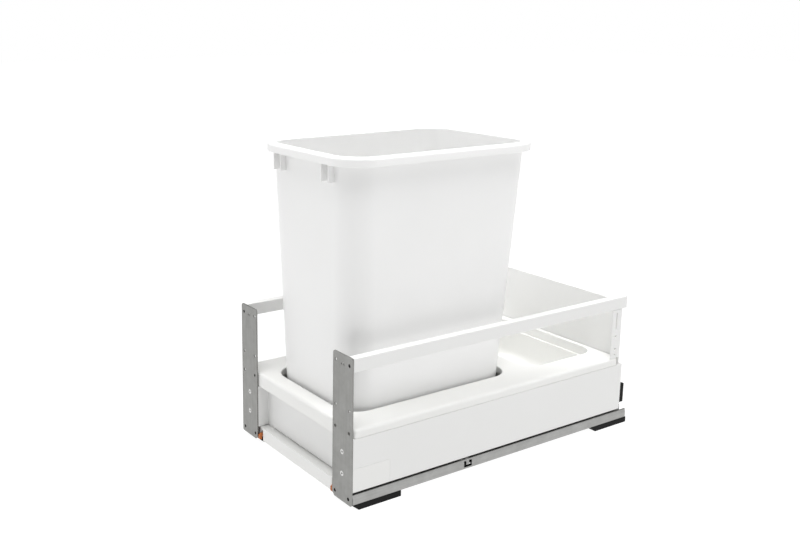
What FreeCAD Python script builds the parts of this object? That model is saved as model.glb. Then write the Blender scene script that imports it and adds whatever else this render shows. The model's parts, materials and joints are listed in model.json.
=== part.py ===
import FreeCAD, Part
import math
import os

from FreeCAD import Vector

# Pull-out waste bin drawer for a floor cabinet. Millimetres, +Z up, the cabinet floor at Z = 0.
# The door brackets face -Y. Every side piece is drawn on the right (+X) and mirrored to the left.

# Overall sizes
overall_width = 300.0
runner_length = 556.0
side_height = 77.6
bin_height = 450.0

# Feet
foot_height = 8.6
foot_length = 82.0
foot_width = 52.0
foot_front_setback = 4.0
foot_rear_reach = 2.0
foot_nose = 9.0
foot_toe = 1.5
foot_wall = 4.0
foot_recess = 2.5
foot_boss_wall = 4.0
foot_boss_height = 3.0
foot_screw_radius = 2.5
foot_screw_inset = 46.0
foot_screw_spacing = 48.0
foot_rivet_edge = 24.0
rivet_radius = 2.0
rivet_start = 3.0

# Slides, measured inwards from the drawer's outer face
sheet = 1.5
runner_web_width = 40.0
runner_outer_flange = 14.8
runner_inner_flange = 9.6
runner_lean_height = 5.2
runner_lean = 1.2
tongue_setback = 203.0
tongue_slot_length = 15.0
tongue_slot_low = 3.0
tongue_slot_high = 12.5
tongue_low = 6.4
tongue_front_gap = 4.2
tongue_rear_gap = 5.2
bumper_width = 18.0
bumper_rear_gap = 2.0
bumper_radius = 2.0
slide_stack = 19.1
ball_radius = 1.95
ball_gap = 0.3
middle_lower_inset = 6.0
middle_upper_inset = 11.0
middle_wall = 1.2
middle_low_gap = 0.4
middle_high_gap = 0.6
middle_step_drop = 1.3
drawer_runner_gap = 1.3
upper_ball_rise = 0.4
travel_loss = 56.0
middle_front_setback = 25.0
middle_rear_setback = 31.0
drawer_runner_front = 2.5
drawer_runner_rear = 11.0
cage_margin = 10.0
cage_thickness = 0.8
cage_ball_gap = 0.1
cage_seat_reach = 2.0
upper_cage_drop = 0.3
upper_strip_gap = 1.6
ball_pitch = 23.0
web_gap = 0.3

# Sides and the pieces between them
side_thickness = 16.0
side_sheet = 1.2
side_front = 2.3
side_rear_setback = 17.0
flange_lap = 12.0
side_top_radius = 1.0
cover_length = 63.0
cover_height = 34.0
cover_gap = 0.2
cover_rib_depth = 3.8
cover_rib_width = 2.0
cover_rib_margin = 8.0
cover_rib_end = 4.0
board_thickness = 21.0
board_front = 5.0
board_lever_gap = 2.0
board_edge_radius = 0.8
board_rear_gap = 1.0
board_screw_count = 4
board_screw_radius = 2.0
board_screw_head = 4.0
board_screw_head_depth = 2.2
board_screw_margin = 6.0
board_screw_front = 46.0
board_screw_rear = 25.0
recess_length = 4.0
recess_width = 0.8
recess_depth = 1.2
front_panel_setback = 20.0
front_panel_thickness = 6.0
front_panel_gap = 2.0

# Door brackets
bracket_reach = 30.0
bracket_sheet = 2.0
bracket_lift = 7.3
bracket_top_radius = 4.0
bracket_low_chamfer = 5.0
bracket_low_radius = 3.0
hole_pitch = 32.0
first_hole_row = 16.0
door_hole_radius = 2.5
door_hole_edge = 7.5
door_hole_rows = (0, 3, 4, 6)
screw_rows = (1, 2)
screw_radius = 1.7
screw_play = 0.05
screw_head_radius = 3.6
screw_head_depth = 1.85
screw_length = 10.0
screw_recess_radius = 1.5
screw_recess_depth = 1.2
half_moon_drop = 3.5
half_moon_outer = 3.6
half_moon_inner = 2.2
carrier_sheet = 2.0
carrier_top_gap = 1.0

# Gallery rails and the back
rail_bottom = 200.0
rail_height = 20.0
rail_width = 12.0
rail_wall = 1.0
rail_radius = 1.5
rail_cap = 2.0
rail_cap_radius = 0.8
rail_front_gap = 0.2
connector_length = 24.0
cap_plug_length = 14.0
plug_gap = 0.1
rear_plug_low = 10.0
rear_plug_high = 42.0
rear_plug_stem = 18.0
rear_plug_head = 10.0
rear_plug_radius = 1.5
back_setback = 9.0
back_sheet = 1.2
back_flange = 20.0
back_fold = 8.0
back_top = 212.0
back_edge_setback = 0.5
back_hole_radius = 2.6
back_small_hole_radius = 1.8
back_hole_drops = (45.0, 66.5)
back_small_hole_drop = 76.0
back_slot_width = 3.2
back_slot_top = 6.0
back_slot_bottom = 34.0

# Tray
tray_wall = 3.0
tray_front = 3.0
tray_rear_gap = 1.0
tray_rise = 12.7
tray_edge_radius = 4.5
tray_corner = 6.0
tray_inner_corner = 3.0
tray_mouth_radius = 1.5
tray_rear_drop = 0.05
tray_groove_front = 23.0
skirt_drop = 9.3
well_gap = 4.0
well_radius = 34.0
well_lip = 12.0
compartment_bridge = 35.0
compartment_rear_rim = 6.5
compartment_side_margin = 43.0
compartment_depth = 70.0
compartment_radius = 28.0
compartment_step = 2.0
compartment_step_drop = 17.0
compartment_floor_radius = 8.0

# Bin
bin_side_margin = 27.3
bin_length = 355.5
bin_front = 10.4
bin_wall = 2.5
bin_floor = 3.0
rim_overhang = 11.0
rim_height = 13.0
rim_radius = 53.0
rim_edge_radius = 3.5
rim_mouth_radius = 2.0
body_radius = 43.0
body_foot_radius = 10.0
body_floor_radius = 7.0
taper_front = 15.0
taper_side = 15.0
taper_rear = 28.0
lug_width = 2.0
lug_centres = (53.0, 70.5)
lug_setback = 2.5
lug_root = 3.0
lug_top_gap = 2.0
lug_length = 35.5
lug_chamfer = 1.0

# Release levers
lever_bracket_gap = 1.0
lever_thickness = 5.0
lever_pad_front = 0.8
lever_pad_back = 5.0
lever_pad_low = -7.2
lever_pad_high = 0.5
lever_pad_radius = 1.2
lever_arm_low = -2.5
lever_arm_high = 2.0
lever_tail_length = 22.0
lever_tail_high = 1.5
lever_catch_length = 4.0
lever_catch_high = 5.0
hub_radius = 4.5
pin_radius = 1.5
pin_back = 34.0
pin_height = 16.5
pin_end_gap = 0.2
lever_running_gap = 0.06
lever_side_gap = 0.5
housing_front = 6.2
housing_length = 60.0
housing_drop = 5.5
housing_slot_rise = 7.0
housing_board_gap = 0.4
housing_runner_gap = 0.6

# Clearances
slip = 0.5
fit_gap = 0.2
loose_gap = 0.3
joint_line = 0.8

# Places that follow from the sizes above
half_width = overall_width / 2
overall_depth = runner_length + foot_rear_reach
front = -overall_depth / 2
rear = overall_depth / 2
runner_bottom = foot_height
side_bottom = runner_bottom + slide_stack
side_top = side_bottom + side_height
side_rear = front + runner_length - side_rear_setback
side_inner = half_width - side_thickness
bracket_width = side_thickness + bracket_reach
lever_inset = bracket_width + lever_bracket_gap + lever_thickness / 2
board_side_setback = lever_inset + lever_thickness / 2 + board_lever_gap
side_flange_reach = board_side_setback + flange_lap
flange_top = side_bottom + side_sheet
tray_top = side_top + tray_rise
rail_top = rail_bottom + rail_height
board_half_width = half_width - board_side_setback
bin_half_width = half_width - bin_side_margin
bin_bottom = flange_top
bin_top = bin_bottom + bin_height
back_front = side_rear - back_setback
tray_rear = back_front - tray_rear_gap
bracket_screw_x = half_width - bracket_width / 2
drawer_travel = runner_length - travel_loss
cage_share = drawer_travel / 4


def box(x0, x1, y0, y1, z0, z1):
    """A block between two corners."""
    return Part.makeBox(x1 - x0, y1 - y0, z1 - z0, Vector(x0, y0, z0))


def rod(radius, start, direction, length):
    """A round bar from a start point along a direction."""
    return Part.makeCylinder(radius, length, start, direction)


def along_y(points, y0, y1):
    """A section of (x, z) corners run from y0 to y1."""
    outline = [Vector(x, y0, z) for x, z in points]
    face = Part.Face(Part.makePolygon(outline + outline[:1]))
    return face.extrude(Vector(0, y1 - y0, 0))


def along_x(points, x0, x1):
    """A section of (y, z) corners run from x0 to x1."""
    outline = [Vector(x0, y, z) for y, z in points]
    face = Part.Face(Part.makePolygon(outline + outline[:1]))
    return face.extrude(Vector(x1 - x0, 0, 0))


def rounded_wire(x0, x1, y0, y1, radius, z):
    """A rectangle with round corners, flat at height z."""
    k = radius * (1 - math.sqrt(0.5))
    edges = []
    corners = [
        ((x1, y0 + radius), (x1, y1 - radius), (x1 - k, y1 - k), (x1 - radius, y1)),
        ((x1 - radius, y1), (x0 + radius, y1), (x0 + k, y1 - k), (x0, y1 - radius)),
        ((x0, y1 - radius), (x0, y0 + radius), (x0 + k, y0 + k), (x0 + radius, y0)),
        ((x0 + radius, y0), (x1 - radius, y0), (x1 - k, y0 + k), (x1, y0 + radius)),
    ]
    for start, end, middle, after in corners:
        points = [Vector(p[0], p[1], z) for p in (start, end, middle, after)]
        edges.append(Part.makeLine(points[0], points[1]))
        edges.append(Part.Arc(points[1], points[2], points[3]).toShape())
    return Part.Wire(edges)


def rounded_block(x0, x1, y0, y1, z0, z1, radius):
    """A block with round upright corners."""
    face = Part.Face(rounded_wire(x0, x1, y0, y1, radius, z0))
    return face.extrude(Vector(0, 0, z1 - z0))


def edges_at(shape, test):
    """The edges whose every end and middle pass a test on the point."""
    found = []
    for edge in shape.Edges:
        middle = edge.valueAt((edge.FirstParameter + edge.LastParameter) / 2)
        points = [vertex.Point for vertex in edge.Vertexes] + [middle]
        if all(test(point) for point in points):
            found.append(edge)
    return found


def mirrored(shape):
    """The left-hand copy of a right-hand shape."""
    return shape.mirror(Vector(0, 0, 0), Vector(1, 0, 0))


def save(name, shape):
    """Write one node."""
    shape.exportStep(os.path.join("parts", name + ".step"))


def save_pair(name, shape):
    """Write a right-hand node and its left-hand mirror image."""
    save("right_" + name, shape)
    save("left_" + name, mirrored(shape))


def save_group(name, solids):
    """Write like solids as one node."""
    save(name, Part.makeCompound(solids))


def both_sides(solids):
    """Right-hand solids with their left-hand copies."""
    return solids + [mirrored(solid) for solid in solids]


def inset(distance):
    """The X place a distance in from the right-hand outer face."""
    return half_width - distance


# Fixed runners and feet

def foot_span(at_front):
    """Where a foot starts and ends along Y."""
    if at_front:
        return front + foot_front_setback, front + foot_front_setback + foot_length
    return rear - foot_length, rear


def foot_screw_places(at_front):
    """The two screw holes of a foot along Y."""
    y0, y1 = foot_span(at_front)
    middle = (y0 + y1) / 2
    return [middle - foot_screw_spacing / 2, middle + foot_screw_spacing / 2]


def foot(at_front):
    """A plastic foot with a sloping nose and two screw holes."""
    y0, y1 = foot_span(at_front)
    toe = foot_height - foot_toe
    outline = [(y0, foot_height), (y0, toe), (y0 + foot_nose, 0), (y1, 0), (y1, foot_height)]
    body = along_x(outline, inset(foot_width), half_width)
    w = foot_wall
    recess = box(inset(foot_width - w), inset(w), y0 + foot_nose + w, y1 - w, 0, foot_recess)
    for y in foot_screw_places(at_front):
        centre = Vector(inset(foot_screw_inset), y, 0)
        recess = recess.cut(rod(foot_screw_radius + foot_boss_wall, centre, Vector(0, 0, 1), foot_boss_height))
    body = body.cut(recess)
    for y in foot_screw_places(at_front):
        hole = rod(foot_screw_radius, Vector(inset(foot_screw_inset), y, -1), Vector(0, 0, 1), foot_height + 2)
        body = body.cut(hole)
    for y in foot_rivet_places(at_front):
        x = inset(runner_web_width / 2)
        body = body.cut(rod(rivet_radius, Vector(x, y, rivet_start), Vector(0, 0, 1), foot_height))
    return body


def foot_rivet_places(at_front):
    """Where a runner is riveted to one foot along Y."""
    y0, y1 = foot_span(at_front)
    return [y0 + foot_rivet_edge, y1 - foot_rivet_edge]


def foot_rivets():
    """Flush rivets that hold the runners to the feet."""
    rivets = []
    x = inset(runner_web_width / 2)
    length = runner_bottom + sheet - rivet_start
    for y in foot_rivet_places(True) + foot_rivet_places(False):
        rivets.append(rod(rivet_radius, Vector(x, y, rivet_start), Vector(0, 0, 1), length))
    return both_sides(rivets)


def cabinet_runner():
    """The fixed channel of the slide, with a sprung tongue cut into its outer flange."""
    x0 = inset(runner_web_width)
    z0 = runner_bottom
    outer_top = z0 + runner_outer_flange
    inner_top = z0 + runner_inner_flange
    lean_start = outer_top - runner_lean_height
    top = inset(runner_lean)
    outline = [
        (half_width, z0), (half_width, lean_start), (top, outer_top), (top - sheet, outer_top),
        (half_width - sheet, lean_start), (half_width - sheet, z0 + sheet), (x0 + sheet, z0 + sheet),
        (x0 + sheet, inner_top), (x0, inner_top), (x0, z0),
    ]
    body = along_y(outline, front + bracket_sheet + slip, front + runner_length)
    outside = edges_at(body, lambda p: abs(p.x - half_width) < 0.01 and p.z < z0 + 0.01)
    body = body.makeFillet(sheet * 0.9, outside)
    lip = edges_at(body, lambda p: abs(p.x - top) < 0.01 and p.z > outer_top - 0.01)
    body = body.makeFillet(sheet * 0.6, lip)
    for y in foot_rivet_places(True) + foot_rivet_places(False):
        hole = rod(rivet_radius, Vector(inset(runner_web_width / 2), y, z0 - 1), Vector(0, 0, 1), sheet + 2)
        body = body.cut(hole)
    return body.cut(tongue_slot(z0))


def tongue_slot(z0):
    """A U-shaped slot that leaves a small tongue in the runner's outer flange."""
    y0 = front + tongue_setback
    y1 = y0 + tongue_slot_length
    x0 = inset(sheet + runner_lean) - 1
    slot = box(x0, half_width + 1, y0, y1, z0 + tongue_slot_low, z0 + tongue_slot_high)
    tongue = box(x0 - 1, half_width + 2, y0 + tongue_front_gap, y1 - tongue_rear_gap,
                 z0 + tongue_low, z0 + tongue_slot_high + 1)
    return slot.cut(tongue)


def rear_bumpers():
    """Rubber stops at the back of each fixed runner."""
    y0 = front + runner_length - drawer_runner_rear + slip
    z0 = runner_bottom + sheet
    x0 = inset((runner_web_width + bumper_width) / 2)
    x1 = x0 + bumper_width
    block = box(x0, x1, y0, front + runner_length - bumper_rear_gap, z0, side_bottom - slip)
    upright = edges_at(block, lambda p: p.y < y0 + 0.01 and (p.x < x0 + 0.01 or p.x > x1 - 0.01))
    return both_sides([block.makeFillet(bumper_radius, upright)])


# The moving middle members and the ball cages

def middle_section():
    """The stepped tube that runs between the fixed and the drawer runners."""
    centre = runner_web_width / 2
    low = centre - middle_lower_inset
    high = centre - middle_upper_inset
    z0 = runner_bottom + sheet + 2 * web_gap + cage_thickness + middle_low_gap
    z3 = side_bottom - sheet - 2 * web_gap - cage_thickness - middle_high_gap
    z1 = (z0 + z3) / 2 - middle_step_drop
    return centre, low, high, z0, z1, z3


def middle_runner():
    """A stepped closed tube, wide below for the lower balls and narrow above for the upper balls."""
    centre, low, high, z0, z1, z3 = middle_section()
    x = inset(centre)
    w = middle_wall
    outer = [
        (x - low, z0), (x + low, z0), (x + low, z1), (x + high, z1),
        (x + high, z3), (x - high, z3), (x - high, z1), (x - low, z1),
    ]
    inner = [
        (x - low + w, z0 + w), (x + low - w, z0 + w), (x + low - w, z1 - w), (x + high - w, z1 - w),
        (x + high - w, z3 - w), (x - high + w, z3 - w), (x - high + w, z1 - w), (x - low + w, z1 - w),
    ]
    y0 = front + middle_front_setback
    y1 = front + runner_length - middle_rear_setback
    return along_y(outer, y0, y1).cut(along_y(inner, y0 - 1, y1 + 1))


def lower_cage_span():
    """Where the lower cages start and end along Y, so that both members hold them over the whole travel."""
    y0 = front + cage_share + cage_margin
    y1 = front + runner_length - middle_rear_setback - cage_share - cage_margin
    return y0, y1


def upper_cage_span():
    """Where the upper cages start and end along Y, so that both members hold them over the whole travel."""
    y0 = front + middle_front_setback + cage_share + cage_margin
    y1 = front + runner_length - drawer_runner_rear - cage_share - cage_margin
    return y0, y1


def ball_spots(span, offset, z):
    """Ball centres of a right-hand cage: two rows, one each side of the middle runner."""
    centre = runner_web_width / 2
    y0, y1 = span
    count = int((y1 - y0) / ball_pitch)
    start = (y0 + y1 - (count - 1) * ball_pitch) / 2
    spots = []
    for x in (inset(centre - offset), inset(centre + offset)):
        spots += [Vector(x, start + i * ball_pitch, z) for i in range(count)]
    return spots


def lower_ball_spots():
    """Balls between the fixed runner's flanges and the wide part of the middle runner."""
    centre, low, high, z0, z1, z3 = middle_section()
    return ball_spots(lower_cage_span(), low + ball_gap + ball_radius, (z0 + z1) / 2)


def upper_ball_spots():
    """Balls between the narrow part of the middle runner and the drawer runner's flanges."""
    centre, low, high, z0, z1, z3 = middle_section()
    return ball_spots(upper_cage_span(), high + ball_gap + ball_radius, (z1 + z3) / 2 + upper_ball_rise)


def cage(spots, span, web_low, web_high, strip_low, strip_high):
    """A plastic channel with a seat for every ball."""
    centre = inset(runner_web_width / 2)
    reach = max(spot.x for spot in spots) - centre + cage_thickness / 2
    y0, y1 = span
    body = box(centre - reach, centre + reach, y0, y1, web_low, web_high)
    for x in (centre - reach, centre + reach - cage_thickness):
        body = body.fuse(box(x, x + cage_thickness, y0, y1, strip_low, strip_high))
    for spot in spots:
        start = spot - Vector(cage_seat_reach, 0, 0)
        seat = rod(ball_radius + cage_ball_gap, start, Vector(1, 0, 0), 2 * cage_seat_reach)
        body = body.cut(seat)
    return body.removeSplitter()


def lower_cage():
    """The cage of the lower balls, which runs over the fixed runner's web."""
    z0 = runner_bottom + sheet + web_gap
    top = middle_section()[4] - web_gap
    return cage(lower_ball_spots(), lower_cage_span(), z0, z0 + cage_thickness, z0, top)


def upper_cage():
    """The cage of the upper balls, which runs under the drawer runner's web."""
    z1 = side_bottom - sheet - web_gap - upper_cage_drop
    bottom = middle_section()[4] + upper_strip_gap
    return cage(upper_ball_spots(), upper_cage_span(), z1 - cage_thickness, z1, bottom, z1)


def balls(spots):
    """Steel balls of both slides."""
    return both_sides([Part.makeSphere(ball_radius, spot) for spot in spots])


def drawer_runner():
    """The inverted channel under the drawer side."""
    centre, low, high, z0, z1, z3 = middle_section()
    x = inset(centre)
    inner = high + 2 * (ball_gap + ball_radius)
    outer = inner + sheet
    bottom = z1 + drawer_runner_gap
    top = side_bottom
    outline = [
        (x - outer, bottom), (x - inner, bottom), (x - inner, top - sheet), (x + inner, top - sheet),
        (x + inner, bottom), (x + outer, bottom), (x + outer, top), (x - outer, top),
    ]
    return along_y(outline, front + drawer_runner_front, front + runner_length - drawer_runner_rear)


# Drawer box

def cover_outline(grow):
    """Extent of the front cover on the side's outer face: Y start, Y end, Z low, Z high."""
    y0 = front + side_front
    return y0, y0 + cover_length + grow, side_bottom, side_bottom + cover_height + grow


def side_wall():
    """A double-walled side: a closed steel section with a flange that carries the floor."""
    x = half_width
    s = side_sheet
    y0 = front + side_front
    outer = box(side_inner, x, y0, side_rear, side_bottom, side_top)
    top = edges_at(outer, lambda p: p.z > side_top - 0.01 and abs(p.x - x) < 0.01)
    outer = outer.makeFillet(side_top_radius, top)
    hollow = box(side_inner + s, x - s, y0 - 1, side_rear + 1, side_bottom + s, side_top - s)
    flange_start = front + front_panel_setback
    flange = box(inset(side_flange_reach), side_inner + s, flange_start, side_rear, side_bottom, flange_top)
    body = outer.cut(hollow).fuse(flange).removeSplitter()
    c0, c1, z0, z1 = cover_outline(cover_gap)
    body = body.cut(box(x - s - slip, x + 1, c0 - 1, c1, z0 - 1, z1))
    for y in board_screw_places():
        start = Vector(board_screw_x(), y, side_bottom - 1)
        body = body.cut(rod(board_screw_radius, start, Vector(0, 0, 1), s + 2))
    return body


def side_cover():
    """The clip-on cover at the front lower corner of a side."""
    y0, y1, z0, z1 = cover_outline(0.0)
    back = inset(side_sheet)
    cover = box(back, half_width, y0, y1, z0, z1)
    for y in (y0 + cover_rib_margin, y1 - cover_rib_margin - cover_rib_width):
        rib = box(back - cover_rib_depth, back, y, y + cover_rib_width, z0 + cover_rib_end, z1 - cover_rib_end)
        cover = cover.fuse(rib)
    return cover.removeSplitter()


def board_screw_places():
    """Screws along the floor board's edges."""
    y0 = front + board_screw_front
    y1 = back_front - board_screw_rear
    gaps = board_screw_count - 1
    return [y0 + (y1 - y0) * i / gaps for i in range(board_screw_count)]


def board_screw_x():
    """How far the right-hand row of board screws stands from the middle."""
    return inset(side_flange_reach - board_screw_margin)


def base_board():
    """The floor board between the slides."""
    w = board_half_width
    z0 = side_bottom - board_thickness
    body = box(-w, w, front + board_front, back_front - board_rear_gap, z0, side_bottom)
    rim = edges_at(body, lambda p: p.y < front + board_front + 0.01)
    body = body.makeFillet(board_edge_radius, rim)
    for x in (-board_screw_x(), board_screw_x()):
        for y in board_screw_places():
            shank = rod(board_screw_radius, Vector(x, y, z0 - 1), Vector(0, 0, 1), board_thickness + 2)
            body = body.cut(shank).cut(board_screw_cone(x, y, z0))
    return body


def board_screw_cone(x, y, z):
    """The countersunk head of a board screw, or the seat for it."""
    centre = Vector(x, y, z)
    return Part.makeCone(board_screw_head, board_screw_radius, board_screw_head_depth, centre, Vector(0, 0, 1))


def board_screws():
    """Screws up through the floor board into each side flange, countersunk below."""
    screws = []
    x = board_screw_x()
    z0 = side_bottom - board_thickness
    start = z0 + board_screw_head_depth / 2
    for y in board_screw_places():
        shank = rod(board_screw_radius, Vector(x, y, start), Vector(0, 0, 1), flange_top - loose_gap - start)
        screw = shank.fuse(board_screw_cone(x, y, z0)).cut(cross_recess(x, y, z0))
        screws.append(screw.removeSplitter())
    return both_sides(screws)


def cross_recess(x, y, z):
    """A cross recess in a screw's head, open below."""
    a = recess_length / 2
    b = recess_width / 2
    slot = box(x - a, x + a, y - b, y + b, z - 1, z + recess_depth)
    return slot.fuse(box(x - b, x + b, y - a, y + a, z - 1, z + recess_depth))


def front_panel():
    """The board that closes the drawer's front, behind the tray's skirt."""
    w = side_inner - fit_gap
    y0 = front + front_panel_setback
    y1 = y0 + front_panel_thickness
    top = side_top - front_panel_gap
    return box(-w, w, y0, y1, flange_top, top)


def bracket_carrier():
    """The folded steel bracket inside the side's front end, which the door bracket screws to."""
    x0 = half_width - bracket_width
    x1 = side_inner - fit_gap
    y0 = front + bracket_sheet
    y1 = front + front_panel_setback
    z0 = flange_top
    z1 = side_top - skirt_drop - carrier_top_gap
    t = carrier_sheet
    body = box(x0, x1, y0, y1, z0, z1)
    body = body.cut(box(x0 + t, x1 - t, y0 + t, y1 + 1, z0 - 1, z1 - t))
    for z in screw_heights():
        body = body.cut(screw_hole(z, y0 - 1, t + 2))
    return body


def screw_hole(z, start, length):
    """A clearance hole for a bracket screw."""
    return rod(screw_radius + screw_play, Vector(bracket_screw_x, start, z), Vector(0, 1, 0), length)


def screw_heights():
    """Heights of the two screws that hold each door bracket."""
    return [first_hole_row + row * hole_pitch for row in screw_rows]


def door_hole_places():
    """X and Z of the door screw holes in the right-hand bracket."""
    places = []
    for row in door_hole_rows:
        z = first_hole_row + row * hole_pitch
        places += [(inset(door_hole_edge), z), (inset(door_hole_edge + hole_pitch), z)]
    return places


def door_bracket():
    """The upright steel plate that the cabinet door screws to."""
    x0 = half_width - bracket_width
    z0 = bracket_lift
    body = box(x0, half_width, front, front + bracket_sheet, z0, rail_top)
    top = edges_at(body, lambda p: p.z > rail_top - 0.01 and (p.x < x0 + 0.01 or p.x > half_width - 0.01))
    body = body.makeFillet(bracket_top_radius, top)
    low_inner = edges_at(body, lambda p: p.z < z0 + 0.01 and p.x < x0 + 0.01)
    body = body.makeChamfer(bracket_low_chamfer, low_inner)
    low_outer = edges_at(body, lambda p: p.z < z0 + 0.01 and p.x > half_width - 0.01)
    body = body.makeFillet(bracket_low_radius, low_outer)
    for x, z in door_hole_places():
        body = body.cut(rod(door_hole_radius, Vector(x, front - 1, z), Vector(0, 1, 0), bracket_sheet + 2))
    body = body.cut(half_moon_slot())
    for z in screw_heights():
        body = body.cut(screw_hole(z, front - 1, bracket_sheet + 2))
        body = body.cut(screw_head(z, screw_play))
    return body


def half_moon_slot():
    """A half-round slot near the bracket's top, which frees a tab for the gallery rail."""
    z = first_hole_row + door_hole_rows[-1] * hole_pitch - half_moon_drop
    start = Vector(bracket_screw_x, front - 1, z)
    ring = rod(half_moon_outer, start, Vector(0, 1, 0), bracket_sheet + 2)
    ring = ring.cut(rod(half_moon_inner, start, Vector(0, 1, 0), bracket_sheet + 2))
    r = half_moon_outer + 1
    below = box(bracket_screw_x - r, bracket_screw_x + r, front - 2, front + bracket_sheet + 2, z - r, z)
    return ring.cut(below)


def screw_head(z, grow):
    """The countersunk head of a bracket screw."""
    centre = Vector(bracket_screw_x, front, z)
    low = screw_radius + screw_play
    return Part.makeCone(screw_head_radius + grow, low, screw_head_depth, centre, Vector(0, 1, 0))


def bracket_screws():
    """Countersunk screws that hold the door brackets to their carriers."""
    screws = []
    for z in screw_heights():
        start = front + screw_head_depth / 2
        length = screw_length - screw_head_depth / 2
        shank = rod(screw_radius, Vector(bracket_screw_x, start, z), Vector(0, 1, 0), length)
        body = shank.fuse(screw_head(z, 0.0))
        mouth = Vector(bracket_screw_x, front - 1, z)
        recess = rod(screw_recess_radius, mouth, Vector(0, 1, 0), screw_recess_depth + 1)
        screws.append(body.cut(recess).removeSplitter())
    return both_sides(screws)


def gallery_rail():
    """A rectangular steel tube above the side."""
    x0 = half_width - rail_width
    y0 = front + bracket_sheet + rail_front_gap
    tube = box(x0, half_width, y0, side_rear, rail_bottom, rail_top)
    tube = tube.makeFillet(rail_radius, long_edges(tube))
    hollow = box(x0 + rail_wall, half_width - rail_wall, y0 - 1, side_rear + 1,
                 rail_bottom + rail_wall, rail_top - rail_wall)
    return tube.cut(hollow)


def long_edges(shape):
    """The edges that run along Y."""
    found = []
    for edge in shape.Edges:
        a, b = [vertex.Point for vertex in edge.Vertexes]
        if abs(a.x - b.x) < 0.01 and abs(a.z - b.z) < 0.01:
            found.append(edge)
    return found


def rail_plug(at_front):
    """A plastic plug in a rail's end; the rear one has a cap."""
    w = rail_wall + plug_gap
    x0 = half_width - rail_width + w
    x1 = half_width - w
    z0 = rail_bottom + w
    z1 = rail_top - w
    if at_front:
        y0 = front + bracket_sheet + rail_front_gap
        return box(x0, x1, y0, y0 + connector_length, z0, z1)
    y1 = side_rear
    plug = box(x0, x1, y1 - cap_plug_length, y1, z0, z1)
    cap = box(half_width - rail_width, half_width, y1, y1 + rail_cap, rail_bottom, rail_top)
    cap = cap.makeFillet(rail_cap_radius, edges_at(cap, lambda p: p.y > y1 + rail_cap - 0.01))
    return plug.fuse(cap).removeSplitter()


def back_panel():
    """The steel back: a low tongue between the sides, a wide upper sheet, and a flange each side."""
    s = back_sheet
    y0 = back_front
    y1 = y0 + s
    low = side_inner - loose_gap
    wide = half_width - back_edge_setback
    narrow = half_width - rail_width - loose_gap
    under_rail = rail_bottom - fit_gap
    shoulder = side_top + 1
    panel = box(-low, low, y0, y1, flange_top + loose_gap, shoulder)
    panel = panel.fuse(box(-wide, wide, y0, y1, shoulder, under_rail))
    panel = panel.fuse(box(-narrow, narrow, y0, y1, under_rail, back_top))
    panel = panel.fuse(box(-narrow, narrow, y0, y0 + back_fold, back_top - s, back_top))
    flange = box(wide - s, wide, y0 - back_flange, y1, tray_top + 2 * fit_gap, under_rail)
    for y, z, radius in flange_holes():
        flange = flange.cut(rod(radius, Vector(wide - s - 1, y, z), Vector(1, 0, 0), s + 2))
    flange = flange.cut(flange_slot(wide, s))
    panel = panel.fuse(flange).fuse(mirrored(flange))
    return panel.removeSplitter()


def flange_holes():
    """Holes in the back panel's side flange: Y, Z, radius."""
    y = back_front - back_flange / 2
    holes = [(y, rail_bottom - drop, back_hole_radius) for drop in back_hole_drops]
    return holes + [(y, rail_bottom - back_small_hole_drop, back_small_hole_radius)]


def flange_slot(wide, s):
    """The upright slot in the back panel's side flange."""
    y = back_front - back_flange / 2
    half = back_slot_width / 2
    low = rail_bottom - back_slot_bottom
    return box(wide - s - 1, wide + 1, y - half, y + half, low, rail_bottom - back_slot_top)


def rear_plug():
    """The black plug in the rear end of a side."""
    s = side_sheet + fit_gap
    z0 = side_bottom + rear_plug_low
    z1 = side_bottom + rear_plug_high
    y1 = side_rear + rear_plug_head
    stem = box(side_inner + s, half_width - s, side_rear - rear_plug_stem, side_rear, z0, z1)
    head = box(side_inner + slip, half_width - slip, side_rear, y1, z0, z1)
    head = head.makeFillet(rear_plug_radius, edges_at(head, lambda p: p.y > y1 - 0.01))
    return stem.fuse(head).removeSplitter()


# Release levers

def release_lever():
    """The orange lever under the drawer's front corner: thumb pad, arm, hub and catch."""
    x0 = inset(lever_inset) - lever_thickness / 2
    x1 = x0 + lever_thickness
    y = front + pin_back
    z = pin_height
    tail_end = y + lever_tail_length
    pad = box(x0, x1, front + lever_pad_front, front + lever_pad_back, z + lever_pad_low, z + lever_pad_high)
    across = [edge for edge in pad.Edges if edge.BoundBox.XLength > lever_thickness - 0.1]
    pad = pad.makeFillet(lever_pad_radius, across)
    arm_front = front + (lever_pad_front + lever_pad_back) / 2
    arm = box(x0, x1, arm_front, y, z + lever_arm_low, z + lever_arm_high)
    tail = box(x0, x1, y, tail_end, z + lever_arm_low, z + lever_tail_high)
    catch = box(x0, x1, tail_end - lever_catch_length, tail_end, z + lever_arm_low, z + lever_catch_high)
    hub = rod(hub_radius, Vector(x0, y, z), Vector(1, 0, 0), lever_thickness)
    body = pad.fuse([arm, tail, catch, hub]).removeSplitter()
    bore = rod(pin_radius + lever_running_gap, Vector(x0 - 1, y, z), Vector(1, 0, 0), lever_thickness + 2)
    return body.cut(bore)


def lever_housing():
    """The plastic housing that holds the lever's pin, open at the front and below."""
    x0, x1 = housing_sides()
    y0 = front + housing_front
    y1 = y0 + housing_length
    z0 = pin_height - housing_drop
    body = box(x0, x1, y0, y1, z0, side_bottom)
    half_slot = lever_thickness / 2 + lever_side_gap
    middle = inset(lever_inset)
    slot = box(middle - half_slot, middle + half_slot, y0 - 1, y1 + 1, z0 - 1, pin_height + housing_slot_rise)
    hole = rod(pin_radius, Vector(x0 - 1, front + pin_back, pin_height), Vector(1, 0, 0), x1 - x0 + 2)
    return body.cut(slot).cut(hole)


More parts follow.
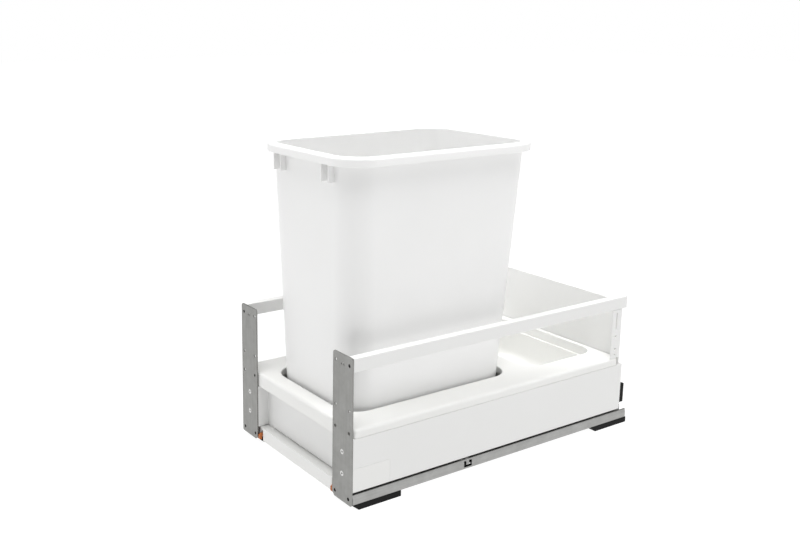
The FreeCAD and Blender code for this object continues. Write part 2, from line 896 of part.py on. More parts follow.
def housing_sides():
    """Where a lever housing starts and ends along X, between the board and the fixed runner."""
    return inset(board_side_setback) + housing_board_gap, inset(runner_web_width) - housing_runner_gap


def lever_pins():
    """The pins that the release levers turn on."""
    x0, x1 = housing_sides()
    start = Vector(x0 + pin_end_gap, front + pin_back, pin_height)
    pin = rod(pin_radius, start, Vector(1, 0, 0), x1 - x0 - 2 * pin_end_gap)
    return both_sides([pin])


# Tray

def well_extent():
    """The hole the bin stands in: half width, Y start, Y end, at the tray's top."""
    share = (bin_top - rim_height - tray_top) / (bin_height - rim_height)
    half = bin_half_width - rim_overhang - taper_side * share + well_gap
    y0 = front + bin_front + rim_overhang + taper_front * share - well_gap
    y1 = front + bin_front + bin_length - rim_overhang - taper_rear * share + well_gap
    return half, y0, y1


def compartment_extent():
    """The rear compartment's mouth: half width, Y start, Y end."""
    half = half_width - compartment_side_margin
    return half, well_extent()[2] + compartment_bridge, tray_rear - compartment_rear_rim


def tray():
    """The moulded tray: a rimmed deck, a well for the bin and a closed compartment behind it."""
    t = tray_wall
    y0 = front + tray_front
    y1 = tray_rear
    shell = rounded_block(-half_width, half_width, y0, y1, side_top, tray_top, tray_corner)
    shell = shell.makeFillet(tray_edge_radius, edges_at(shell, lambda p: p.z > tray_top - 0.01))
    shell = shell.fuse(tray_rear_edge())
    x = half_width - t
    under = rounded_block(-x, x, y0 + t, y1 - t, side_top - 1, tray_top - t, tray_inner_corner)
    shell = shell.cut(under)
    skirt = box(-side_inner + slip, side_inner - slip, y0, y0 + t, side_top - skirt_drop, side_top + 1)
    shell = shell.fuse(skirt)
    half, w0, w1 = well_extent()
    r = well_radius
    lip = rounded_block(-half - t, half + t, w0 - t, w1 + t, tray_top - well_lip, tray_top - t, r + t)
    shell = shell.fuse(lip)
    shell = shell.cut(rounded_block(-half, half, w0, w1, tray_top - well_lip - 1, tray_top + 1, r))
    shell = shell.fuse(compartment_body(t)).cut(compartment_hollow())
    groove_front = front + tray_groove_front
    groove = box(inset(joint_line), half_width + 1, groove_front, y1 + 1, side_top - 1, side_top + joint_line)
    shell = shell.cut(groove).cut(mirrored(groove)).removeSplitter()
    reach = tray_edge_radius + 1
    mouth = edges_at(shell, lambda p: p.z > tray_top - 0.01 and abs(p.x) < half_width - reach
                     and y0 + reach < p.y < y1 - reach)
    return shell.makeFillet(tray_mouth_radius, mouth)


def tray_rear_edge():
    """The square edge along the tray's rear that meets the back panel."""
    x = half_width - tray_corner
    top = tray_top - tray_rear_drop
    return box(-x, x, tray_rear - tray_edge_radius, tray_rear, tray_top - tray_edge_radius, top)


def compartment_radii():
    """Corner radius of the compartment, limited by its size."""
    half, y0, y1 = compartment_extent()
    return min(compartment_radius, (y1 - compartment_step - y0) / 2 - 1, half - 1)


def compartment_body(t):
    """The outside of the rear compartment."""
    half, y0, y1 = compartment_extent()
    r = compartment_radii()
    step = tray_top - compartment_step_drop
    floor = tray_top - compartment_depth
    upper = rounded_block(-half - t, half + t, y0 - t, y1 + t, step - t, tray_top - t, r + t)
    y2 = y1 - compartment_step
    lower = rounded_block(-half - t, half + t, y0 - t, y2 + t, floor - t, tray_top - t, r + t)
    return upper.fuse(lower)


def compartment_hollow():
    """The space inside the rear compartment."""
    half, y0, y1 = compartment_extent()
    r = compartment_radii()
    step = tray_top - compartment_step_drop
    floor = tray_top - compartment_depth
    upper = rounded_block(-half, half, y0, y1, step, tray_top + 1, r)
    lower = rounded_block(-half, half, y0, y1 - compartment_step, floor, tray_top + 1, r)
    lower = lower.makeFillet(compartment_floor_radius, edges_at(lower, lambda p: p.z < floor + 0.01))
    return upper.fuse(lower)


# Bin

def bin_section(share, shrink):
    """The bin's plan at a share of the way down from rim to floor, shrunk by a wall."""
    x = bin_half_width - rim_overhang - taper_side * share - shrink
    y0 = front + bin_front + rim_overhang + taper_front * share + shrink
    y1 = front + bin_front + bin_length - rim_overhang - taper_rear * share - shrink
    return -x, x, y0, y1


def bin_loft(z_low, z_high, shrink):
    """The tapered body between two heights, shrunk by a wall."""
    wires = []
    for z in (z_low, z_high):
        share = (bin_top - rim_height - z) / (bin_height - rim_height)
        x0, x1, y0, y1 = bin_section(share, shrink)
        wires.append(rounded_wire(x0, x1, y0, y1, body_radius - shrink, z))
    return Part.makeLoft(wires, True, True)


def bin_lugs():
    """Thin upright ribs under the rim on the bin's front: two pairs."""
    y0 = front + bin_front + lug_setback
    y1 = front + bin_front + rim_overhang + lug_root
    z1 = bin_top - lug_top_gap
    z0 = z1 - lug_length
    c = lug_chamfer
    lugs = []
    for x in lug_centres:
        outline = [(y0, z1), (y0, z0 + c), (y0 + c, z0), (y1, z0), (y1, z1)]
        lugs.append(along_x(outline, x - lug_width / 2, x + lug_width / 2))
    return both_sides(lugs)


def waste_bin():
    """The lift-out bin with a turned-down rim."""
    body = bin_loft(bin_bottom, bin_top, 0.0)
    body = body.makeFillet(body_foot_radius, edges_at(body, lambda p: p.z < bin_bottom + 0.01))
    x = bin_half_width
    y0 = front + bin_front
    y1 = y0 + bin_length
    rim = rounded_block(-x, x, y0, y1, bin_top - rim_height, bin_top, rim_radius)
    rim = rim.makeFillet(rim_edge_radius, edges_at(rim, lambda p: p.z > bin_top - 0.01))
    w = bin_wall
    z0 = bin_top - rim_height - 1
    under = rounded_block(-x + w, x - w, y0 + w, y1 - w, z0, bin_top - 2 * w, rim_radius - w)
    body = rim.cut(under).fuse(body)
    for lug in bin_lugs():
        body = body.fuse(lug)
    inner = bin_loft(bin_bottom + bin_floor, bin_top + 1, w)
    floor_edge = edges_at(inner, lambda p: p.z < bin_bottom + bin_floor + 0.01)
    inner = inner.makeFillet(body_floor_radius, floor_edge)
    body = body.cut(inner).removeSplitter()
    reach = rim_edge_radius + 1
    mouth = edges_at(body, lambda p: p.z > bin_top - 0.01 and abs(p.x) < x - reach
                     and y0 + reach < p.y < y1 - reach)
    return body.makeFillet(rim_mouth_radius, mouth)


def build():
    """Write every node of the assembly."""
    os.makedirs("parts", exist_ok=True)
    save_pair("front_foot", foot(True))
    save_pair("rear_foot", foot(False))
    save_group("foot_rivets", foot_rivets())
    save_pair("cabinet_runner", cabinet_runner())
    save_group("rear_bumpers", rear_bumpers())
    save_pair("middle_runner", middle_runner())
    save_pair("lower_ball_cage", lower_cage())
    save_group("lower_balls", balls(lower_ball_spots()))
    save_pair("upper_ball_cage", upper_cage())
    save_group("upper_balls", balls(upper_ball_spots()))
    save_pair("drawer_runner", drawer_runner())
    save_pair("side_wall", side_wall())
    save_pair("side_cover", side_cover())
    save("base_board", base_board())
    save_group("board_screws", board_screws())
    save("front_panel", front_panel())
    save_pair("bracket_carrier", bracket_carrier())
    save_pair("door_bracket", door_bracket())
    save_group("bracket_screws", bracket_screws())
    save_pair("gallery_rail", gallery_rail())
    save_pair("rail_connector", rail_plug(True))
    save_pair("rail_end_cap", rail_plug(False))
    save("back_panel", back_panel())
    save_pair("rear_plug", rear_plug())
    save_pair("release_lever", release_lever())
    save_pair("lever_housing", lever_housing())
    save_group("lever_pins", lever_pins())
    save("tray", tray())
    save("bin", waste_bin())


build()
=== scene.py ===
import json
import math

import bmesh
import bpy
from mathutils import Matrix, Vector

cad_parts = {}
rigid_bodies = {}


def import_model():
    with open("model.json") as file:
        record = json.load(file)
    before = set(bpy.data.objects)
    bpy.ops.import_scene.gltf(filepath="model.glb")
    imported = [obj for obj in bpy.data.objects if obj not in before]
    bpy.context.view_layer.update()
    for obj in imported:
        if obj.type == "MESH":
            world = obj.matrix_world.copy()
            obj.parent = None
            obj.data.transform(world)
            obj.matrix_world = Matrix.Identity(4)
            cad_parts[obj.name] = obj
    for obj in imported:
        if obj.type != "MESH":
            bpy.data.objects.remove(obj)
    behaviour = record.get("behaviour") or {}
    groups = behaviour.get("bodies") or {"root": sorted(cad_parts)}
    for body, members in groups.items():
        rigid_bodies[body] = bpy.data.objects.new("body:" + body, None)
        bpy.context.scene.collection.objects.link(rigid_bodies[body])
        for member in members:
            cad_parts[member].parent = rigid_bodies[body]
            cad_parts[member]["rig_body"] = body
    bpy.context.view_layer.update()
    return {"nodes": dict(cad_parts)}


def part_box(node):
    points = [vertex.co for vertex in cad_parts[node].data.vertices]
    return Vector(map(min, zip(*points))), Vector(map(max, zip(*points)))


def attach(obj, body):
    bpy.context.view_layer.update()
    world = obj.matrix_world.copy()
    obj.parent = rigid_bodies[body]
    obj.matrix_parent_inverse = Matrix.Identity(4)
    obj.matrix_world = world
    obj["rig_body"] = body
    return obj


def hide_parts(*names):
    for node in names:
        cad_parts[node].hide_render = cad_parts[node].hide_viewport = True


# A pull-out waste bin drawer: a white lift-out bin in a white tray, steel sides and gallery rails,
# bare steel door brackets and slides, black feet. Metres, +Z up, the brackets at -Y.

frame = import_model()
MM = 0.001

# How finely curves are stepped, and what counts as sharp, as flat and as the same place
ARC_STEPS = 12
ROUND_STEPS = 5
BLOCK_STEPS = 3
BREAK_STEPS = 2
SHARP_ANGLE = math.radians(30)
CREASE_ANGLE = math.radians(40)
FLAT_ANGLE = math.radians(0.4)
SAME_PLACE = 1e-6
HOLD_AWAY = Vector((0, 0, 1))

# Sizes that the frame does not give
BIN_WALL = 2.5 * MM
BIN_FLOOR = 3.0 * MM
RIM_HEIGHT = 13 * MM
RIM_OVERHANG = 11 * MM
RIM_RADIUS = 53 * MM
TAPER_FRONT = 15 * MM
TAPER_SIDE = 15 * MM
TAPER_REAR = 28 * MM
BIN_FLOOR_REACH = 45 * MM
BIN_FOOT_WIDTH = 22 * MM
BIN_FOOT_RISE = 1.2 * MM
TRAY_WALL = 3 * MM
TRAY_RISE = 12.7 * MM
TRAY_CORNER = 6 * MM
TRAY_EDGE = 4.5 * MM
TRAY_JOINT = 0.8 * MM
SKIRT_DEPTH = 22 * MM
SKIRT_GAP = 0.3 * MM
SKIRT_SETBACK = 0.1 * MM
SKIRT_LAP = 2 * MM
SKIRT_ROUND = 0.8 * MM
STRIP_DROP = 0.02 * MM
WELL_GAP = 4 * MM
WELL_CORNER = 34 * MM
WELL_LIP = 12 * MM
RIB_PLACES = (-70.5 * MM, -53 * MM, 53 * MM, 70.5 * MM)
RIB_WALL = 2.0 * MM
RIB_BOTTOM = 37.5 * MM
RIB_SETBACK = 2.5 * MM
RIB_ROOT = 4 * MM
RIB_ROUND = 0.4 * MM
COMPARTMENT_HALF = 107 * MM
COMPARTMENT_BRIDGE = 35 * MM
COMPARTMENT_REAR_RIM = 6.5 * MM
COMPARTMENT_CORNER = 28 * MM
COMPARTMENT_STEP = 0.8 * MM
COMPARTMENT_STEP_DROP = 17 * MM
COMPARTMENT_DEPTH = 70 * MM
LEDGE_WIDTH = 1.2 * MM
BOWL_RADIUS = 14 * MM
BOWL_REACH = 22 * MM

# Where the camera stands and how it is turned, in metres and degrees
EYE = (1.12984, -0.98401, 0.66562)
EYE_TURN = 57.49
EYE_PITCH = 12.06
EYE_ROLL = -0.01
LENS = 43.609
LENS_SHIFT = (0.1236, -0.06)

# Light: shares of full white, and metres
WHITE = (1, 1, 1, 1)
SKY_STRENGTH = 0.27
FLOOR_COLOUR = (0.12, 0.12, 0.12, 1)
FLOOR_GLOW = 0.975
FLOOR_REACH = 12
AIM = Vector((0, 0, 0.2))


# Working meshes

def rounded_path(corners):
    """Points along a section of (inset, height, radius) corners, each corner turned to an arc."""
    points = []
    last = len(corners) - 1
    for i, (inset, height, radius) in enumerate(corners):
        here = Vector((inset, height))
        if radius == 0 or i in (0, last):
            points.append(here)
            continue
        back = (Vector(corners[i - 1][:2]) - here).normalized()
        ahead = (Vector(corners[i + 1][:2]) - here).normalized()
        half = back.angle(ahead) / 2
        centre = here + (back + ahead).normalized() * (radius / math.sin(half))
        start = here + back * (radius / math.tan(half)) - centre
        turn = start.angle_signed(here + ahead * (radius / math.tan(half)) - centre)
        for k in range(ROUND_STEPS + 1):
            points.append(centre + Matrix.Rotation(-turn * k / ROUND_STEPS, 2) @ start)
    return points


def ring(bm, x0, x1, y0, y1, radius, z):
    """A level loop of edges: a rectangle with round corners."""
    before = set(bm.faces)
    made = bmesh.ops.create_grid(bm, x_segments=1, y_segments=1, size=0.5)["verts"]
    bmesh.ops.scale(bm, verts=made, vec=(x1 - x0, y1 - y0, 1))
    bmesh.ops.translate(bm, verts=made, vec=((x0 + x1) / 2, (y0 + y1) / 2, z))
    bmesh.ops.bevel(bm, geom=made, offset=radius, offset_type="OFFSET", segments=ARC_STEPS,
                    profile=0.5, affect="VERTICES", material=-1)
    plate = next(face for face in bm.faces if face not in before)
    edges = list(plate.edges)
    bmesh.ops.delete(bm, geom=[plate], context="FACES_ONLY")
    return edges


def skin(bm, rings):
    """Walls between each loop and the next, which is held away meanwhile to keep flat bands untwisted."""
    for here, following in zip(rings, rings[1:]):
        verts = list({vert for edge in following for vert in edge.verts})
        bmesh.ops.translate(bm, verts=verts, vec=HOLD_AWAY)
        bmesh.ops.bridge_loops(bm, edges=here + following)
        bmesh.ops.translate(bm, verts=verts, vec=-HOLD_AWAY)


def cap(bm, *rings):
    """A flat face over one loop, or over a loop with holes."""
    if len(rings) == 1:
        bmesh.ops.edgenet_fill(bm, edges=rings[0])
    else:
        bmesh.ops.triangle_fill(bm, edges=[edge for loop in rings for edge in loop], use_beauty=True)


def block(bm, low, high, radius=0.0):
    """A block between two corners, its edges rounded where a radius is given."""
    made = bmesh.ops.create_cube(bm, size=1)["verts"]
    bmesh.ops.scale(bm, verts=made, vec=Vector(high) - Vector(low))
    bmesh.ops.translate(bm, verts=made, vec=(Vector(low) + Vector(high)) / 2)
    edges = list({edge for vert in made for edge in vert.link_edges})
    if radius:
        bmesh.ops.bevel(bm, geom=edges, offset=radius, segments=BLOCK_STEPS, profile=0.5,
                        affect="EDGES", material=-1)


def piece(name, bm, body, slot, *nodes):
    """Turn a working mesh into a shown piece that stands for CAD nodes."""
    mesh = bpy.data.meshes.new(name)
    bmesh.ops.remove_doubles(bm, verts=bm.verts, dist=SAME_PLACE)
    bm.to_mesh(mesh)
    bm.free()
    mesh.shade_smooth()
    mesh.set_sharp_from_angle(angle=CREASE_ANGLE)
    made = bpy.data.objects.new(name, mesh)
    bpy.context.scene.collection.objects.link(made)
    mesh.materials.append(finishes[slot])
    weighted = made.modifiers.new("even_normals", "WEIGHTED_NORMAL")
    weighted.keep_sharp = True
    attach(made, body)
    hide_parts(*nodes)
    return made


def deburred(node, radius):
    """A copy of a CAD piece with its sharp edges broken."""
    source = frame["nodes"][node]
    slot = source.data.materials[0].name
    bm = bmesh.new()
    bm.from_mesh(source.data)
    bmesh.ops.remove_doubles(bm, verts=bm.verts, dist=SAME_PLACE)
    bmesh.ops.dissolve_limit(bm, angle_limit=FLAT_ANGLE, verts=bm.verts, edges=bm.edges)
    edges = [edge for edge in bm.edges
             if len(edge.link_faces) == 2 and edge.calc_face_angle() > SHARP_ANGLE]
    bmesh.ops.bevel(bm, geom=edges, offset=radius, segments=BREAK_STEPS, profile=0.5, affect="EDGES",
                    clamp_overlap=True, material=-1)
    return piece(node + "_deburred", bm, source["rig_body"], slot, node)


# Finishes

class Value:
    """A number that changes over a surface; sums and products of values add Math nodes."""

    def __init__(self, finish, socket):
        self.finish = finish
        self.socket = socket

    def math(self, operation, first, second):
        return self.finish.node("Math", {"operation": operation}, {0: first, 1: second})

    def __add__(self, other):
        return self.math("ADD", self, other)

    def __radd__(self, other):
        return self.math("ADD", other, self)

    def __sub__(self, other):
        return self.math("SUBTRACT", self, other)

    def __rsub__(self, other):
        return self.math("SUBTRACT", other, self)

    def __mul__(self, other):
        return self.math("MULTIPLY", self, other)

    def __rmul__(self, other):
        return self.math("MULTIPLY", other, self)


class Finish:
    """One material: a surface shader and the patterns that feed it."""

    def __init__(self, name, **constants):
        self.material = bpy.data.materials.new(name + "_finish")
        self.material.use_nodes = True
        self.tree = self.material.node_tree
        self.shader = self.tree.nodes["Principled BSDF"]
        for socket, value in constants.items():
            self.shader.inputs[socket.replace("_", " ").title()].default_value = value
        self.place = self.node("TexCoord", output="Object")

    def node(self, kind, settings=None, inputs=None, output=0):
        """Add a node: its settings first, then the values or links of its sockets."""
        made = self.tree.nodes.new("ShaderNode" + kind)
        for key, value in (settings or {}).items():
            setattr(made, key, value)
        for key, value in (inputs or {}).items():
            if isinstance(value, Value):
                self.tree.links.new(value.socket, made.inputs[key])
            else:
                made.inputs[key].default_value = value
        return Value(self, made.outputs[output])

    def set(self, socket, value):
        """Feed a socket of the surface shader."""
        self.tree.links.new(value.socket, self.shader.inputs[socket])

    def speckle(self, scale, detail=2.0, roughness=0.5, stretch=(1, 1, 1), shift=(0, 0, 0)):
        """Soft random variation; scale counts features per metre."""
        place = self.node("Mapping", inputs={"Vector": self.place, "Scale": stretch, "Location": shift})
        inputs = {"Vector": place, "Scale": scale, "Detail": detail, "Roughness": roughness}
        return self.node("TexNoise", inputs=inputs)

    def between(self, value, low, high):
        """A value's span from low to high spread over 0 to 1."""
        return self.node("MapRange", inputs={"Value": value, "From Min": low, "From Max": high})

    def blend(self, first, second, share):
        """A colour between two others."""
        colours = {"Factor": share, 6: (*first, 1), 7: (*second, 1)}
        return self.node("Mix", {"data_type": "RGBA"}, colours, output=2)

    def relief(self, height, depth):
        """Bumps of a depth in metres."""
        bump = self.node("Bump", inputs={"Height": height, "Distance": depth, "Strength": 1.0})
        self.set("Normal", bump)


def scratches(finish, stretch, shift):
    """Thin marks along the axis with the smallest stretch, 0 to 1."""
    marks = finish.speckle(1, detail=3, roughness=0.55, stretch=stretch, shift=shift)
    return finish.between(marks, 0.66, 0.74)


def moulded_plastic(name, colour, shade, roughness, grain_depth, sheen=0.5):
    """Injection-moulded plastic: a fine spark-eroded grain, faint flow marks and light scuffs."""
    finish = Finish(name)
    finish.shader.inputs["Specular IOR Level"].default_value = sheen
    cloud = finish.speckle(9, detail=4)
    grain = finish.speckle(1500, detail=2, roughness=0.6)
    scuff = scratches(finish, stretch=(260, 260, 9), shift=(3, 1, 2))
    share = finish.between(cloud, 0.35, 0.75) * 0.7 + scuff * 0.2
    finish.set("Base Color", finish.blend(colour, shade, share))
    finish.set("Roughness", roughness + (cloud - 0.5) * 0.10 + (grain - 0.5) * 0.12 + scuff * 0.10)
    finish.relief(grain + finish.speckle(260, detail=1) * 0.5, grain_depth)
    return finish.material


def powder_coat(name, colour, shade):
    """Powder-coated steel: an orange-peel skin with a soft sheen and a few rubbed places."""
    finish = Finish(name)
    peel = finish.speckle(620, detail=2, roughness=0.45)
    cloud = finish.speckle(7, detail=3)
    rub = scratches(finish, stretch=(300, 8, 300), shift=(1, 5, 2))
    share = finish.between(cloud, 0.3, 0.8) * 0.6 + rub * 0.25
    finish.set("Base Color", finish.blend(colour, shade, share))
    finish.set("Roughness", 0.36 + (peel - 0.5) * 0.15 + (cloud - 0.5) * 0.08 + rub * 0.1)
    finish.relief(peel, 0.05 * MM)
    return finish.material


def faced_board(name, colour, shade):
    """Melamine-faced board: fine pores in a matt skin."""
    finish = Finish(name)
    speckle = finish.speckle(1100, detail=1, roughness=0.4, stretch=(1, 0.16, 1))
    pores = finish.between(speckle, 0.3, 0.45)
    cloud = finish.speckle(12, detail=3)
    share = (1 - pores) * 0.35 + finish.between(cloud, 0.4, 0.8) * 0.4
    finish.set("Base Color", finish.blend(colour, shade, share))
    finish.set("Roughness", 0.5 + (cloud - 0.5) * 0.12 - pores * 0.06)
    finish.relief(pores, 0.04 * MM)
    return finish.material


def bare_steel(name, colour, shade, roughness, stretch, streak_depth):
    """Bare or plated sheet steel: mill streaks one way, a mottled plating and handling marks."""
    finish = Finish(name, metallic=1.0)
    streak = finish.speckle(1, detail=4, roughness=0.65, stretch=stretch)
    mottle = finish.speckle(70, detail=4, roughness=0.6)
    marks = finish.between(finish.speckle(25, detail=5, roughness=0.7, shift=(4, 2, 7)), 0.55, 0.75)
    share = finish.between(mottle, 0.3, 0.7) * 0.45 + finish.between(streak, 0.3, 0.7) * 0.35 + marks * 0.2
    finish.set("Base Color", finish.blend(colour, shade, share))
    finish.set("Roughness", roughness + (streak - 0.5) * 0.16 + (mottle - 0.5) * 0.14 + marks * 0.08)
    finish.relief(streak + mottle * 0.3, streak_depth)
    return finish.material


def rubber(name):
    """Dull black rubber with a bloom of dust."""
    finish = Finish(name)
    dust = finish.between(finish.speckle(140, detail=5, roughness=0.7), 0.45, 0.7)
    finish.set("Base Color", finish.blend((0.012, 0.012, 0.013), (0.05, 0.048, 0.045), dust * 0.5))
    finish.set("Roughness", 0.62 + dust * 0.2)
    finish.relief(finish.speckle(1300, detail=2), 0.05 * MM)
    return finish.material


# How mill streaks are stretched: a small number along them, large ones across, equal ones for none
ALONG_Y = (420, 5, 420)
ALONG_Z = (500, 500, 7)
EVERY_WAY = (300, 300, 300)
EVERY_WAY_COARSE = (200, 200, 200)

# Slot, kind of surface, then what that kind takes: two colours, roughness, streaks, depth, sheen
LOOKS = (
    ("bin_plastic", moulded_plastic, (0.915, 0.915, 0.91), (0.89, 0.89, 0.882), 0.34, 0.05 * MM),
    ("tray_plastic", moulded_plastic, (0.87, 0.87, 0.852), (0.845, 0.845, 0.825), 0.40, 0.06 * MM),
    ("white_plastic", moulded_plastic, (0.86, 0.86, 0.845), (0.83, 0.83, 0.81), 0.42, 0.06 * MM),
    ("black_plastic", moulded_plastic, (0.006, 0.006, 0.006), (0.012, 0.012, 0.012), 0.55, 0.10 * MM, 0.12),
    ("grey_plastic", moulded_plastic, (0.22, 0.225, 0.23), (0.17, 0.175, 0.18), 0.46, 0.07 * MM),
    ("orange_plastic", moulded_plastic, (0.50, 0.15, 0.04), (0.38, 0.10, 0.025), 0.42, 0.05 * MM, 0.3),
    ("white_steel", powder_coat, (0.84, 0.84, 0.83), (0.81, 0.81, 0.797)),
    ("white_board", faced_board, (0.86, 0.86, 0.845), (0.80, 0.80, 0.78)),
    ("zinc_steel", bare_steel, (0.315, 0.315, 0.305), (0.245, 0.245, 0.235), 0.42, ALONG_Z, 0.02 * MM),
    ("galvanised_steel", bare_steel, (0.40, 0.40, 0.392), (0.30, 0.30, 0.292), 0.34, ALONG_Y, 0.02 * MM),
    ("fastener_steel", bare_steel, (0.70, 0.70, 0.69), (0.55, 0.55, 0.54), 0.26, EVERY_WAY, 0.01 * MM),
    ("ball_steel", bare_steel, (0.78, 0.78, 0.78), (0.70, 0.70, 0.70), 0.12, EVERY_WAY_COARSE, 0.002 * MM),
    ("bumper_rubber", rubber),
)
finishes = {slot: make(slot, *looks) for slot, make, *looks in LOOKS}


# The bin

def bin_profile(low, high):
    """The bin's wall in section, from the middle of its inside round the rim to its underside."""
    inner = RIM_OVERHANG + BIN_WALL
    floor = low + BIN_FLOOR
    lip = high - RIM_HEIGHT
    under = high - 2 * BIN_WALL
    foot = low + BIN_FOOT_RISE
    step = RIM_OVERHANG + BIN_FOOT_WIDTH
    return rounded_path([
        (BIN_FLOOR_REACH, floor, 0), (inner, floor, 9 * MM), (inner, high, 2.2 * MM), (0, high, 4 * MM),
        (0, lip, 0.9 * MM), (BIN_WALL, lip, 0.9 * MM), (BIN_WALL, under, 1.5 * MM),
        (RIM_OVERHANG, under, 1.5 * MM), (RIM_OVERHANG, low, 10 * MM), (step, low, 1 * MM),
        (step + 2 * MM, foot, 1 * MM), (step + 12 * MM, foot, 0),
    ])


def taper_at(z):
    """How much of the bin's taper a height has: none under the rim, all of it at the underside."""
    low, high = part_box("bin")
    rim_bottom = high.z - RIM_HEIGHT
    return max(0.0, (rim_bottom - z) / (rim_bottom - low.z))


def waste_bin():
    """The lift-out bin: a tapered shell under a turned-down rim, with ribs below the rim in front."""
    low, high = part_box("bin")
    bm = bmesh.new()
    rings = []
    for inset, z in bin_profile(low.z, high.z):
        share = taper_at(z)
        side = inset + TAPER_SIDE * share
        rings.append(ring(bm, low.x + side, high.x - side, low.y + inset + TAPER_FRONT * share,
                          high.y - inset - TAPER_REAR * share, RIM_RADIUS - inset, z))
    skin(bm, rings)
    cap(bm, rings[0])
    cap(bm, rings[-1])
    bmesh.ops.recalc_face_normals(bm, faces=bm.faces)
    for x in RIB_PLACES:
        block(bm, (x - RIB_WALL / 2, low.y + RIB_SETBACK, high.z - RIB_BOTTOM),
              (x + RIB_WALL / 2, low.y + RIM_OVERHANG + RIB_ROOT, high.z - 2 * BIN_WALL), RIB_ROUND)
    return piece("bin_shell", bm, "bin", "bin_plastic", "bin")


# The tray

def tray_ring(bm, inset, z):
    """A loop round the tray's outer edge."""
    low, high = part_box("tray")
    return ring(bm, low.x + inset, high.x - inset, low.y + inset, high.y - inset,
                max(TRAY_CORNER - inset, 2 * MM), z)


def well_hole():
    """The hole that the bin stands in: its left, right, front and rear edges."""
    low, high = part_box("bin")
    share = taper_at(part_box("tray")[1].z)
    side = RIM_OVERHANG + TAPER_SIDE * share - WELL_GAP
    front = low.y + RIM_OVERHANG + TAPER_FRONT * share - WELL_GAP
    rear = high.y - RIM_OVERHANG - TAPER_REAR * share + WELL_GAP
    return low.x + side, high.x - side, front, rear


def well_ring(bm, inset, z):
    """A loop round that hole; a negative inset lies outside the hole."""
    left, right, front, rear = well_hole()
    return ring(bm, left + inset, right - inset, front + inset, rear - inset, WELL_CORNER - inset, z)


def compartment_ring(bm, inset, z, step=0.0):
    """A loop round the rear compartment; step sets its rear edge further in."""
    half = COMPARTMENT_HALF - inset
    front = well_hole()[3] + COMPARTMENT_BRIDGE + inset
    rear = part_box("tray")[1].y - COMPARTMENT_REAR_RIM - inset - step
    return ring(bm, -half, half, front, rear, COMPARTMENT_CORNER - inset, z)


def tray():
    """The moulded tray: a rimmed deck, a well for the bin and a closed compartment behind it."""
    low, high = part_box("tray")
    top = high.z
    bottom = top - TRAY_RISE
    under = top - TRAY_WALL
    bm = bmesh.new()
    edge = rounded_path([
        (TRAY_EDGE + 0.1 * MM, top, 0), (0, top, TRAY_EDGE), (0, bottom + TRAY_JOINT, 0.3 * MM),
        (TRAY_JOINT, bottom + TRAY_JOINT, 0.2 * MM), (TRAY_JOINT, bottom, 0.2 * MM),
        (TRAY_WALL, bottom, 0.4 * MM), (TRAY_WALL, under, 0.1 * MM), (TRAY_WALL + 0.2 * MM, under, 0),
    ])
    outside = [tray_ring(bm, inset, z) for inset, z in edge]
    lip = rounded_path([
        (-5 * MM, top, 0), (0, top, 2 * MM), (0, top - WELL_LIP, 1 * MM),
        (-TRAY_WALL, top - WELL_LIP, 1 * MM), (-TRAY_WALL, under, 1.5 * MM), (-6 * MM, under, 0),
    ])
    well = [well_ring(bm, inset, z) for inset, z in lip]
    step_z = top - COMPARTMENT_STEP_DROP
    floor = top - COMPARTMENT_DEPTH
    mouth = rounded_path([
        (-1.7 * MM, top, 0), (0, top, 1.5 * MM), (0, step_z, 1.5 * MM), (LEDGE_WIDTH, step_z, 0),
    ])
    bowl = rounded_path([
        (LEDGE_WIDTH, step_z, 0), (LEDGE_WIDTH, floor, BOWL_RADIUS), (BOWL_REACH, floor, 0),
    ])
    inside = [compartment_ring(bm, inset, z) for inset, z in mouth[:-1]]
    inside += [compartment_ring(bm, inset, z, COMPARTMENT_STEP) for inset, z in bowl]
    shell = rounded_path([
        (BOWL_REACH, floor - TRAY_WALL, 0), (-TRAY_WALL, floor - TRAY_WALL, BOWL_RADIUS),
        (-TRAY_WALL, under, 0.1 * MM), (-TRAY_WALL - 0.15 * MM, under, 0),
    ])
    outer = [compartment_ring(bm, inset, z) for inset, z in shell]
    for rings in (outside, well, inside, outer):
        skin(bm, rings)
    cap(bm, outside[0], well[0], inside[0])
    cap(bm, outside[-1], well[-1], outer[-1])
    cap(bm, inside[-1])
    cap(bm, outer[0])
    bmesh.ops.recalc_face_normals(bm, faces=bm.faces)
    # A strip squares the rear edge, and a skirt hangs under the front one
    block(bm, (low.x + TRAY_CORNER, high.y - TRAY_EDGE, top - TRAY_EDGE),
          (high.x - TRAY_CORNER, high.y, top - STRIP_DROP))
    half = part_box("front_panel")[1].x - SKIRT_GAP
    block(bm, (-half, low.y + SKIRT_SETBACK, top - SKIRT_DEPTH),
          (half, low.y + TRAY_WALL, bottom + SKIRT_LAP), SKIRT_ROUND)
    return piece("tray_shell", bm, "drawer", "tray_plastic", "tray")


# Carried-over pieces

def carried_over():
    """Give every CAD piece its finish."""
    for shown in frame["nodes"].values():
        for holder in shown.material_slots:
            holder.material = finishes[holder.material.name.split(".")[0]] if holder.material else None


def broken_edges():
    """Break the edges that catch the light; radii in millimetres."""
    paired = {
        "door_bracket": 0.35, "side_wall": 0.3, "side_cover": 0.1, "cabinet_runner": 0.25,
        "front_foot": 0.6, "rear_foot": 0.6, "rear_plug": 0.5, "release_lever": 0.5,
        "bracket_carrier": 0.4, "lever_housing": 0.5, "gallery_rail": 0.2, "rail_end_cap": 0.3,
        "drawer_runner": 0.3, "middle_runner": 0.25,
    }
    single = {"back_panel": 0.35, "front_panel": 0.8, "base_board": 0.9}
    for name, radius in paired.items():
        for side in ("left_", "right_"):
            deburred(side + name, radius * MM)
    for name, radius in single.items():
        deburred(name, radius * MM)


# Stage

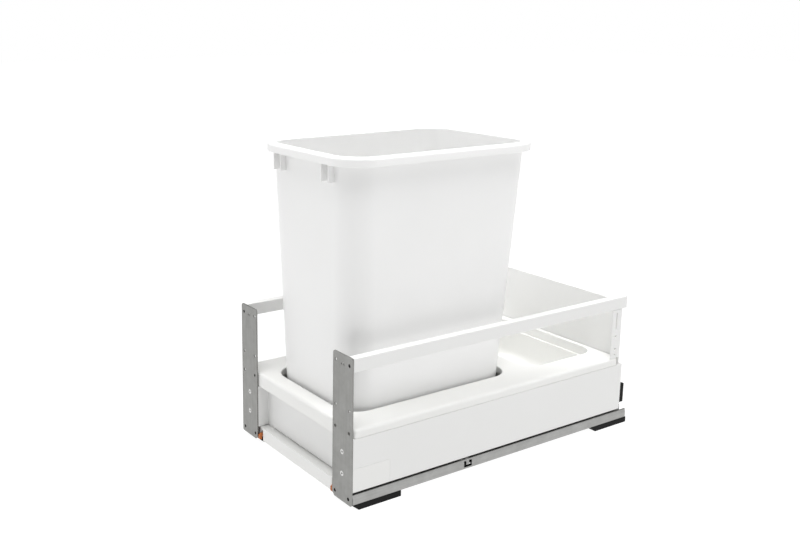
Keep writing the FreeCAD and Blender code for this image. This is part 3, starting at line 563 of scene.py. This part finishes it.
def studio():
    """A pale floor under an even white sky, with a large soft light each side and one overhead."""
    world = bpy.data.worlds.new("sky")
    bpy.context.scene.world = world
    world.use_nodes = True
    nodes = world.node_tree.nodes
    links = world.node_tree.links
    sky = nodes["Background"]
    sky.inputs["Color"].default_value = WHITE
    sky.inputs["Strength"].default_value = SKY_STRENGTH
    backdrop = nodes.new("ShaderNodeBackground")
    backdrop.inputs["Strength"].default_value = 1.0
    backdrop.inputs["Color"].default_value = WHITE
    seen = nodes.new("ShaderNodeLightPath")
    mix = nodes.new("ShaderNodeMixShader")
    links.new(seen.outputs["Is Camera Ray"], mix.inputs[0])
    links.new(sky.outputs[0], mix.inputs[1])
    links.new(backdrop.outputs[0], mix.inputs[2])
    links.new(mix.outputs[0], nodes["World Output"].inputs["Surface"])
    bm = bmesh.new()
    bmesh.ops.create_grid(bm, x_segments=1, y_segments=1, size=FLOOR_REACH)
    mesh = bpy.data.meshes.new("floor")
    bm.to_mesh(mesh)
    bm.free()
    floor = bpy.data.objects.new("floor", mesh)
    bpy.context.scene.collection.objects.link(floor)
    pale = bpy.data.materials.new("pale_floor")
    pale.use_nodes = True
    shader = pale.node_tree.nodes["Principled BSDF"]
    shader.inputs["Base Color"].default_value = FLOOR_COLOUR
    shader.inputs["Roughness"].default_value = 0.9
    shader.inputs["Specular IOR Level"].default_value = 0.0
    shader.inputs["Emission Color"].default_value = WHITE
    shader.inputs["Emission Strength"].default_value = FLOOR_GLOW
    mesh.materials.append(pale)
    soft_light("left_softbox", place=(-1.6, -2.6, 1.3), size=2.2, power=17)
    soft_light("right_softbox", place=(2.7, 1.5, 1.3), size=2.2, power=15)
    soft_light("top_softbox", place=(0.1, -0.1, 2.6), size=2.0, power=94)


def soft_light(name, place, size, power):
    """A square softbox aimed at the middle of the drawer."""
    data = bpy.data.lights.new(name, "AREA")
    data.size = size
    data.energy = power
    lamp = bpy.data.objects.new(name, data)
    bpy.context.scene.collection.objects.link(lamp)
    lamp.location = place
    towards = AIM - Vector(place)
    lamp.rotation_euler = towards.to_track_quat("-Z", "Y").to_euler()


def camera():
    """Three-quarter view from the front right, looking a little down."""
    data = bpy.data.cameras.new("camera")
    data.sensor_width = 36
    data.lens = LENS
    data.shift_x, data.shift_y = LENS_SHIFT
    data.clip_start = 0.05
    data.clip_end = 60
    eye = bpy.data.objects.new("camera", data)
    bpy.context.scene.collection.objects.link(eye)
    turn = Matrix.Rotation(math.radians(EYE_TURN), 4, "Z")
    tilt = Matrix.Rotation(math.radians(90 - EYE_PITCH), 4, "X")
    roll = Matrix.Rotation(math.radians(EYE_ROLL), 4, "Z")
    eye.matrix_world = Matrix.Translation(EYE) @ turn @ tilt @ roll
    bpy.context.scene.camera = eye


waste_bin()
tray()
broken_edges()
carried_over()
studio()
camera()
bpy.context.scene.view_settings.view_transform = "Standard"
